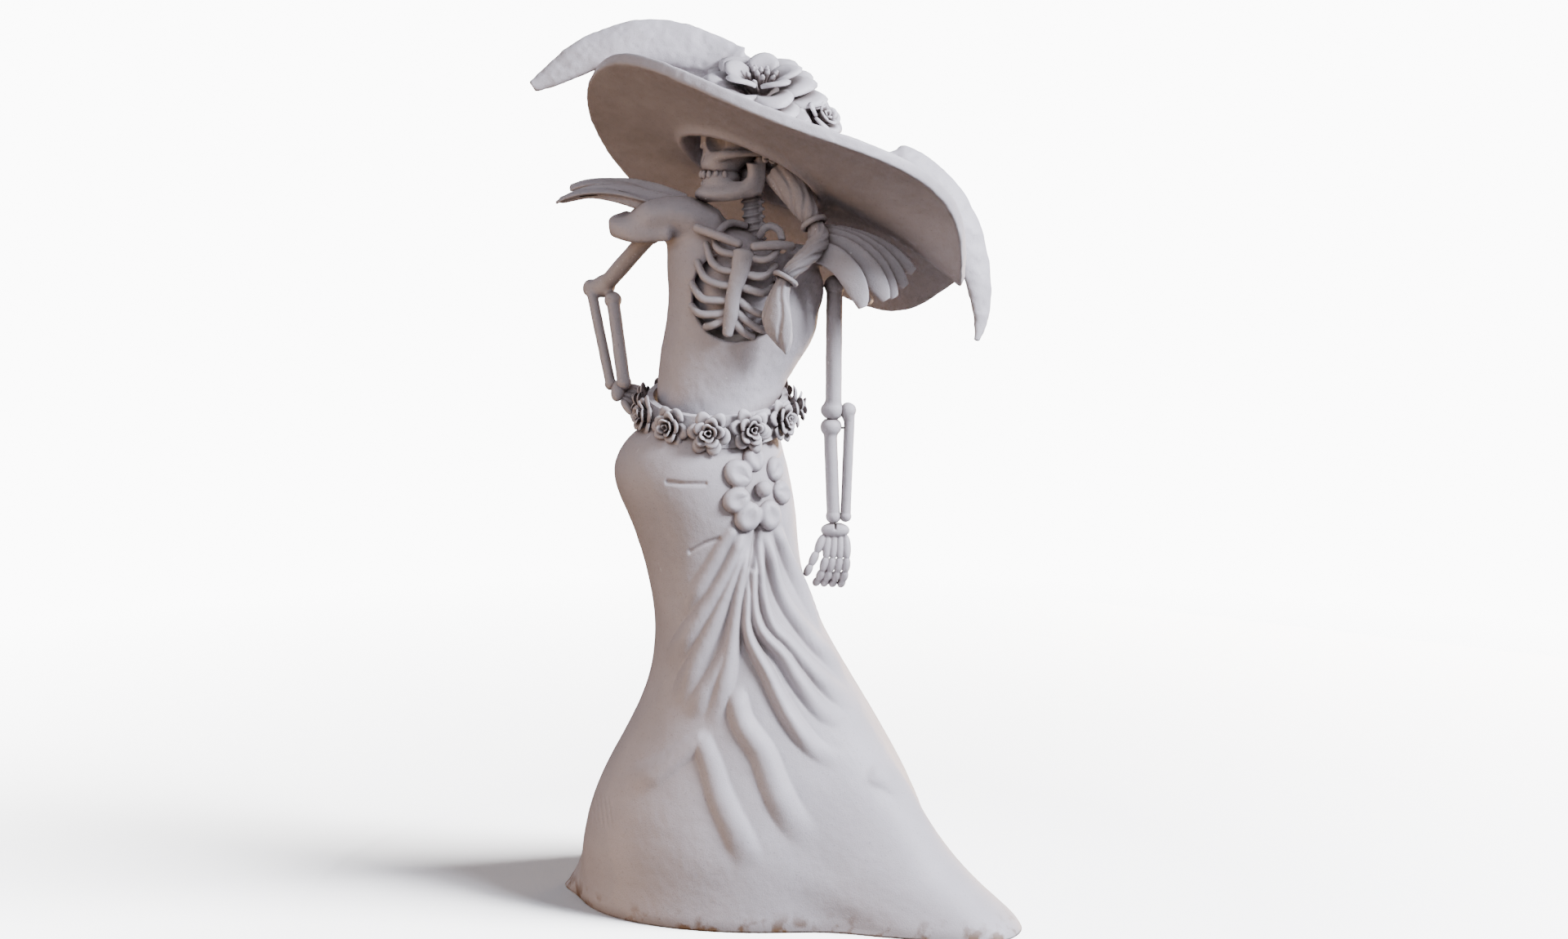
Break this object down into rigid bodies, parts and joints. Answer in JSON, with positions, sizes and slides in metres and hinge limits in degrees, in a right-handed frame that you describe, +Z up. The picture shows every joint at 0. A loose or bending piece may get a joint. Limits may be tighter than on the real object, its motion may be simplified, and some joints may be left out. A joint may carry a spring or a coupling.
{
  "type": "papier-mache catrina figure",
  "caption": "Standing skeleton lady in a trained mermaid dress, rose belt and wide plumed hat; the hanging arm swings on wire pins and the hat lifts off.",
  "frame": {"origin": "on the base's underside, at the foot of the armature rod", "axes": "+Z up, -Y towards the front that the figure is shown from, +X towards the figure's left, where the train lies"},
  "size_m": [0.2471, 0.2057, 0.4537],
  "materials": {
    "board": "plain board, unfinished",
    "plaster": "cast plaster, counted at the density of dry pulp and glue",
    "steel_wire": "drawn wire, dull",
    "paper_core": "crumpled paper and glue, rough",
    "bone_pulp": "fine paper pulp, unpainted, matte",
    "hair_pulp": "paper pulp with combed strands, unpainted, matte",
    "flower_pulp": "thin pressed petals, unpainted, matte",
    "feather_pulp": "pressed pulp, unpainted, matte",
    "hat_pulp": "smoothed paper pulp, unpainted, matte",
    "dress_pulp": "smoothed paper pulp, unpainted, matte"
  },
  "bodies": {
    "figure": {"base_plate": "board", "ballast_block": "plaster", "armature_rod": "steel_wire", "skirt_shell": "dress_pulp", "skirt_hip": "dress_pulp", "hip_flower_petals": "flower_pulp", "hip_flower_button": "flower_pulp", "belt_band": "dress_pulp", "belt_rose_01": "flower_pulp", "belt_rose_02": "flower_pulp", "belt_rose_03": "flower_pulp", "belt_rose_04": "flower_pulp", "belt_rose_05": "flower_pulp", "belt_rose_06": "flower_pulp", "belt_rose_07": "flower_pulp", "belt_rose_08": "flower_pulp", "belt_rose_09": "flower_pulp", "belt_rose_10": "flower_pulp", "belt_rose_11": "flower_pulp", "bodice_shell": "dress_pulp", "torso_core": "paper_core", "sternum": "bone_pulp", "right_ribs": "bone_pulp", "left_ribs": "bone_pulp", "right_clavicle": "bone_pulp", "left_clavicle": "bone_pulp", "neck_vertebrae": "bone_pulp", "skull": "bone_pulp", "jaw": "bone_pulp", "teeth": "bone_pulp", "hair_mass": "hair_pulp", "hair_rose": "hair_pulp", "ponytail_upper": "hair_pulp", "ponytail_middle": "hair_pulp", "ponytail_end": "hair_pulp", "hair_ties": "hair_pulp", "right_sleeve_cap": "dress_pulp", "left_sleeve_cap": "dress_pulp", "right_shoulder_feathers": "feather_pulp", "left_shoulder_feathers": "feather_pulp", "right_humerus": "bone_pulp", "right_radius": "bone_pulp", "right_ulna": "bone_pulp", "right_hand_bones": "bone_pulp", "right_finger_bones": "bone_pulp", "left_shoulder_pin": "steel_wire"},
    "left_upper_arm": {"left_humerus": "bone_pulp"},
    "left_forearm": {"left_radius": "bone_pulp", "left_ulna": "bone_pulp", "left_elbow_pin": "steel_wire", "left_wrist_pin": "steel_wire"},
    "left_hand": {"left_hand_bones": "bone_pulp", "left_finger_bones": "bone_pulp"},
    "hat": {"hat_crown": "hat_pulp", "hat_brim": "hat_pulp", "hat_plume_right": "feather_pulp", "hat_plume_left": "feather_pulp", "hat_rose_large": "flower_pulp", "hat_rose_small": "flower_pulp", "hat_leaves": "flower_pulp"}
  },
  "joints": [
    {"name": "left_shoulder", "type": "hinge", "parent": "figure", "child": "left_upper_arm", "pos_m": [0.0258, 0.003, 0.3196], "axis": [-1, 0, 0], "range_deg": [-20, 30]},
    {"name": "left_elbow", "type": "hinge", "parent": "left_upper_arm", "child": "left_forearm", "pos_m": [0.0254, 0.003, 0.2558], "axis": [-1, 0, 0], "range_deg": [0, 60]},
    {"name": "left_wrist", "type": "hinge", "parent": "left_forearm", "child": "left_hand", "pos_m": [0.0265, 0.003, 0.1935], "axis": [-1, 0, 0], "range_deg": [-25, 35]},
    {"name": "hat_lift", "type": "slide", "parent": "figure", "child": "hat", "axis": [0.4062, 0.2756, 0.8712], "range_m": [0, 0.08]}
  ]
}
